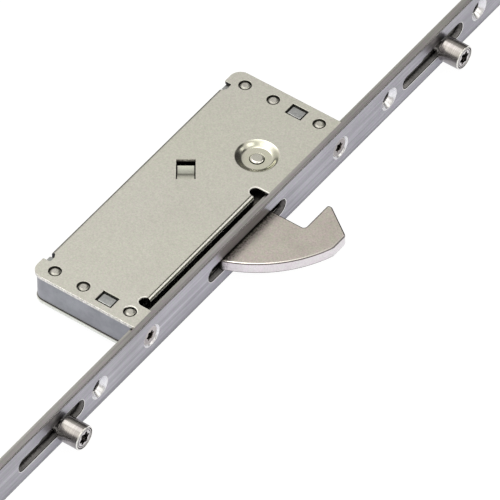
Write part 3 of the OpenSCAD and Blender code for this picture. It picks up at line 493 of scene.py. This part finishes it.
def in_bore(centre, normal):
    return abs(normal.x) < UPRIGHT and abs(centre.z) < SLOT_HALF * MM and near_hole(centre)


def on_slot_edge(centre, normal):
    return 0.15 < normal.x < SLOT_SPLIT and abs(centre.z) < SLOT_HALF * MM


def on_slot_rim(centre, normal):
    return SLOT_SPLIT <= normal.x < FRONT_FLAT and abs(centre.z) < SLOT_RIM_HALF * MM


def in_slot(centre, normal):
    inner = abs(centre.z) < SLOT_HALF * MM and abs(centre.y) < SLOTS_END * MM
    return inner and abs(normal.x) < UPRIGHT


def in_rod_slot(centre, normal):
    return abs(normal.x) < UPRIGHT and abs(centre.z) < ROD_SLOT_HALF * MM


def on_rim(centre, normal):
    return abs(normal.z) > 0.9 and abs(centre.z) > RIM_START * MM


def on_fillet(centre, normal):
    return 0.05 < normal.x <= FILLET_SPLIT and abs(centre.z) > FILLET_START * MM


def low_on_fillet(centre, normal):
    return FILLET_SPLIT < normal.x < FRONT_FLAT and abs(centre.z) > FILLET_START * MM


def on_top(centre, normal):
    return abs(normal.z) > 0.9


def on_side(centre, normal):
    return abs(normal.z) < UPRIGHT


def on_round_edge(centre, normal):
    return UPRIGHT <= abs(normal.z) < LEVEL


def on_dark_edge(centre, normal):
    """True where the hook's rounded edge gets a painted dark reflection: its steep part, and all of it
    where it faces away.
    """
    faces_away = HOOK_WAY[X] * normal.x + HOOK_WAY[Y] * normal.y < 0.03
    return on_round_edge(centre, normal) and (abs(normal.z) < STEEP or faces_away)


def on_lower_edge(centre, normal):
    return normal.z < -UPRIGHT


def on_outer_end(centre, normal):
    return normal.x > UPRIGHT and centre.x > OUTER_END * MM


def in_star(name, radius, start):
    """Test for the walls of the star socket that is centred on a round piece's end."""
    low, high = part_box(name)
    middle = (low + high) / 2

    def test(centre, normal):
        inside = centre.x > start * MM and radius_about(centre, middle, X) < radius
        return inside and abs(normal.x) < STEEP
    return test


# The zones of each piece with their tests. A face takes the first zone whose test it passes
ZONES = {
    # Painted light, highlights, dark lines and shade on the cover's tongue, lip, relief slots, notches
    # and rear bend
    "case_cover": [("dish", in_dish), ("slope", on_slope), ("flat", on_tongue_flat),
                   ("bright", on_tongue_rim), ("cut", on_tongue_cut), ("end_edge", at_cover_end),
                   ("back_edge", on_lip_start), ("bright", on_lip_bend), ("shade", on_lip_wall),
                   ("lip", on_lip), ("bright", on_relief_rim), ("shade", in_relief),
                   ("shade", at_notch), ("back_edge", at_rear_bend)],
    # Painted shade in the bores and on the slots' inner edges, a painted highlight on their rims, a
    # painted dark line on the rounded edges
    "faceplate": [("sink", in_sink), ("shade", in_bore), ("shade", on_slot_edge),
                  ("polished_highlight", on_slot_rim), ("wall", in_slot), ("rim", on_rim),
                  ("fillet", on_fillet), ("fillet_low", low_on_fillet)],
    "hook": [("hook_dark", on_dark_edge), ("hook_edge", on_round_edge), ("hook_side", on_side)],
    # Painted shade on the pin's side, a painted highlight on its edge
    "hook_pivot_pin": [("shade", on_side), ("polished_highlight", on_round_edge)],
    # The back plate's sides get painted light and its lower edge painted shade
    "case_back_plate": [("flat", on_side), ("shade", on_lower_edge)],
    # Painted shade on the walls of the rod's slots
    "drive_rod": [("shade", in_rod_slot)],
}
# Roller ends: a painted highlight on the sleeves and painted light on the studs; painted shade on the
# star sockets' walls of studs and screws
for end in ("lower", "upper"):
    sleeve, screw = "roller_sleeve_" + end, "case_screw_" + end
    ZONES[sleeve] = [("polished_highlight", on_outer_end)]
    ZONES["roller_stud_" + end] = [("shade", in_star(sleeve, *STUD_STAR)), ("pale", on_outer_end)]
    ZONES[screw] = [("shade", in_star(screw, *SCREW_STAR))]
    ZONES["end_block_" + end] = [("stake", on_top)]


def cover_rim(centre):
    """True on the upper edges of the cover's relief slots and of its window's far end."""
    along_tongue = TONGUE_WAY[X] * centre.x + TONGUE_WAY[Y] * centre.y
    by_window = near_tongue(centre) and along_tongue < WINDOW_END * MM
    return centre.z > COVER_TOP - 0.05 * MM and (near_relief(centre, RELIEF_RIMS) or by_window)


def slot_rim(centre):
    """True on the front edges of the faceplate's slots."""
    return centre.x > FRONT - 0.1 * MM and abs(centre.z) < SLOT_HALF * MM and not near_hole(centre)


def nowhere(centre):
    return False


# Edges that are broken by a width of their own, in mm, instead of their piece's
BROKEN_EDGES = {"faceplate": (slot_rim, 0.32), "case_cover": (cover_rim, 0.36)}


def widen_dish(bm):
    """Draw the dish's wall in towards the pin, so that it slopes as gently as the real one."""
    inner, outer, stretch = 4.5, 7.5, 1.6
    for vert in bm.verts:
        reach = radius_about(vert.co.copy(), PIVOT, Z)
        if inner < reach < outer:
            wanted = outer - (outer - reach) * stretch
            for axis in (X, Y):
                vert.co[axis] = PIVOT[axis] + (vert.co[axis] - PIVOT[axis]) * wanted / reach


RESHAPED = {"case_cover": widen_dish}

# Points closer than SAME_POINT are joined, and faces that turn less than SAME_PLANE. Edges
# that turn more are rounded from ROUNDED_FROM and stay sharp in the shading from SHARP_FROM
SAME_POINT = 0.002 * MM
SAME_PLANE = math.radians(0.8)
ROUNDED_FROM = math.radians(28.0)
SHARP_FROM = math.radians(35.0)
EDGE_SEGMENTS = 2


def round_edges(bm, name, width):
    """Round a piece's outer edges by width in mm, then its broken edges by their own."""
    broken, broken_width = BROKEN_EDGES.get(name, (nowhere, 0.0))
    for chosen, offset in ((False, width), (True, broken_width)):
        edges = [edge for edge in bm.edges if len(edge.link_faces) == 2 and edge.is_convex
                 and edge.calc_face_angle() > ROUNDED_FROM
                 and broken((edge.verts[0].co + edge.verts[1].co) / 2) == chosen]
        if edges:
            bmesh.ops.bevel(bm, geom=edges, offset=offset * MM, offset_type="OFFSET", profile=0.5,
                            segments=EDGE_SEGMENTS, affect="EDGES", clamp_overlap=False)


def part_into_zones(bm, zones):
    """Give each face the material of its zone. The first material is the piece's own."""
    for face in bm.faces:
        face.smooth = True
        centre = face.calc_center_median()
        for number, (_, test) in enumerate(zones, start=1):
            if test(centre, face.normal):
                face.material_index = number
                break


def finished(name, width):
    """Copy of a CAD node with its outer edges rounded by width in mm, which stands for the node."""
    mesh = bpy.data.meshes.new(name + "_finished")
    bm = bmesh.new()
    bm.from_mesh(cad_nodes[name].data)
    bmesh.ops.remove_doubles(bm, verts=bm.verts, dist=SAME_POINT)
    bmesh.ops.dissolve_limit(bm, angle_limit=SAME_PLANE, verts=bm.verts, edges=bm.edges)
    if name in RESHAPED:
        RESHAPED[name](bm)
        bm.normal_update()
    round_edges(bm, name, width)
    zones = ZONES.get(name, [])
    part_into_zones(bm, zones)
    for edge in bm.edges:
        edge.smooth = not (len(edge.link_faces) == 2 and edge.calc_face_angle() > SHARP_FROM)
    bm.to_mesh(mesh)
    bm.free()
    piece = bpy.data.objects.new(name + "_finished", mesh)
    bpy.context.scene.collection.objects.link(piece)
    mesh.materials.append(MATERIALS[slot_of_node[name]])
    for zone, _ in zones:
        mesh.materials.append(ZONE_MATERIALS[zone])
    weighted = piece.modifiers.new("weighted", "WEIGHTED_NORMAL")
    weighted.keep_sharp = True
    weighted.weight = 100
    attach(piece, body_of_node[name])
    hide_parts(name)


# How far each piece's outer edges are rounded, in mm
EDGE_WIDTHS = {
    "faceplate": 0.15, "drive_rod": 0.12, "rod_coupling": 0.2, "coupling_rivets": 0.15,
    "case_cover": 0.14, "case_back_plate": 0.14, "end_block_lower": 0.25, "end_block_upper": 0.25,
    "case_rivets_lower": 0.1, "case_rivets_upper": 0.1, "case_screw_lower": 0.12,
    "case_screw_upper": 0.12, "hook": 0.55, "hook_drive_pin": 0.2, "hook_pivot_pin": 0.2,
    "hook_top_washer": 0.1, "hook_bottom_spacer": 0.1, "drive_carriage": 0.15,
    "carriage_guide_stud": 0.1, "detent_spring": 0.08, "roller_stud_lower": 0.1,
    "roller_stud_upper": 0.1, "roller_sleeve_lower": 0.1, "roller_sleeve_upper": 0.1,
    "guide_stud_lower": 0.1, "guide_stud_upper": 0.1, "guide_washer_lower": 0.12,
    "guide_washer_upper": 0.12,
}
for node_name, edge_width in EDGE_WIDTHS.items():
    finished(node_name, edge_width)


def camera():
    """The photograph's camera, solved from points on the part. Lengths in mm."""
    turn, lift, distance = math.radians(36.13), math.radians(46.8), 2500.0
    shift_right, shift_down = 0.9, 2.9
    right = Vector((math.cos(turn), math.sin(turn), 0))
    away = Vector((-math.sin(turn), math.cos(turn), 0))
    up = Vector((0, 0, 1))
    ahead = away * math.cos(lift) - up * math.sin(lift)
    down = -(up * math.cos(lift) + away * math.sin(lift))
    place = Vector((FRONT / MM, 0, 0)) + right * shift_right + down * shift_down - ahead * distance
    data = bpy.data.cameras.new("camera")
    data.sensor_width = 36.0
    data.lens = 562.5
    data.clip_start, data.clip_end = 0.1, 100.0
    made = bpy.data.objects.new("camera", data)
    bpy.context.scene.collection.objects.link(made)
    turned_to = Matrix((right, -down, -ahead)).transposed().to_4x4()
    made.matrix_world = Matrix.Translation(place * MM) @ turned_to
    bpy.context.scene.camera = made


def floor():
    """Plain pale floor just under the part's lowest point, self-lit so that it stays white."""
    half, gap = 30.0, 0.05 * MM
    level = cad_box[0].z - gap
    corners = [(-half, -half, level), (half, -half, level), (half, half, level), (-half, half, level)]
    mesh = bpy.data.meshes.new("floor")
    mesh.from_pydata(corners, [], [(0, 1, 2, 3)])
    piece = bpy.data.objects.new("floor", mesh)
    bpy.context.scene.collection.objects.link(piece)
    material = bpy.data.materials.new("floor_paint")
    shader = Shader(material)
    # Seen directly it is white. What the metal mirrors is a cooler floor that darkens
    # towards the horizon behind the lock
    seen = shader.made("ShaderNodeLightPath", "Is Camera Ray", {})
    facing = shader.made("ShaderNodeLayerWeight", "Facing", {})
    across = shader.made("ShaderNodeSeparateXYZ", "X", {"Vector": shader.places["Object"]})
    behind = shader.remap(across, -20 * MM, 20 * MM, 1.0, 0.0)
    far = shader.combined("MULTIPLY", shader.remap(facing, 0.5, 0.85), behind)
    paint = shader.mix(far, grey(0.5), grey(0.14))
    near_glow, far_glow, seen_glow = (0.55, 0.56, 0.62, 1.0), (0.11, 0.11, 0.12, 1.0), grey(0.95)
    glow = shader.mix(far, near_glow, far_glow)
    shader.feed(shader.tree.nodes["Principled BSDF"], {
        "Base Color": shader.mix(seen, paint, grey(0.1)),
        "Emission Color": shader.mix(seen, glow, seen_glow),
        "Emission Strength": 1.0,
        "Roughness": 0.9,
        "Specular IOR Level": 0.0,
    })
    mesh.materials.append(material)


# Brightness of the surroundings from the horizon up
SKY_STOPS = [(0.0, 0.45), (0.2, 0.55), (0.4, 0.74), (1.0, 0.78)]
# The studio as round patches of light and dark: direction, angles from its middle at
# which the patch is full and gone, and its brightness
PATCHES = [
    ((-0.35, -0.20, 0.90), 22, 42, 1.4),
    ((0.10, 0.95, 0.10), 20, 50, 0.1),
    ((-0.59, 0.80, 0.05), 16, 38, 0.16),
    ((-0.85, 0.50, 0.05), 10, 26, 0.2),
    ((-0.40, -0.92, 0.05), 14, 30, 0.22),
    ((0.04, 0.55, 0.83), 4, 12, 0.35),
    ((0.38, 0.55, 0.74), 10, 17, 0.12),
    ((0.72, 0.52, 0.46), 10, 16, 2.0),
    ((-0.40, -0.50, 0.77), 12, 20, 2.0),
    ((0.85, -0.23, 0.73), 19, 25, 1.8),
    ((-0.04, -0.88, 0.73), 19, 25, 1.8),
]
SKY_TINT = (1.0, 0.975, 0.92, 1.0)
BACKDROP = grey(0.97)


def sky():
    """Pale surroundings, darker low down, with the studio's patches."""
    world = bpy.data.worlds.new("studio")
    bpy.context.scene.world = world
    shader = Shader(world)
    direction = shader.places["Generated"]
    height = shader.made("ShaderNodeSeparateXYZ", "Z", {"Vector": direction})
    light = shader.ramp(height, [(place, grey(value)) for place, value in SKY_STOPS])
    for middle, full, gone, value in PATCHES:
        towards = shader.along(direction, Vector(middle).normalized())
        outer, inner = math.cos(math.radians(gone)), math.cos(math.radians(full))
        light = shader.mix(shader.remap(towards, outer, inner, smooth=True), light, grey(value))
    light = shader.mix(1.0, light, SKY_TINT, "MULTIPLY")
    # What the camera sees past the floor stays plain
    seen = shader.made("ShaderNodeLightPath", "Is Camera Ray", {})
    shader.feed(shader.tree.nodes["Background"],
                {"Color": shader.mix(seen, light, BACKDROP), "Strength": 1.0})


def key_light():
    """One large soft lamp above and behind the case, aimed at the origin."""
    data = bpy.data.lights.new("key", "AREA")
    data.shape = "RECTANGLE"
    data.size, data.size_y = 1.4, 1.4
    data.energy = 8.0
    lamp = bpy.data.objects.new("key", data)
    bpy.context.scene.collection.objects.link(lamp)
    place = Vector((-0.9, 0.2, 2.1))
    lamp.location = place
    lamp.rotation_mode = "QUATERNION"
    lamp.rotation_quaternion = (-place).to_track_quat("-Z", "Y")


bpy.context.scene.view_settings.view_transform = "Standard"
camera()
floor()
sky()
key_light()
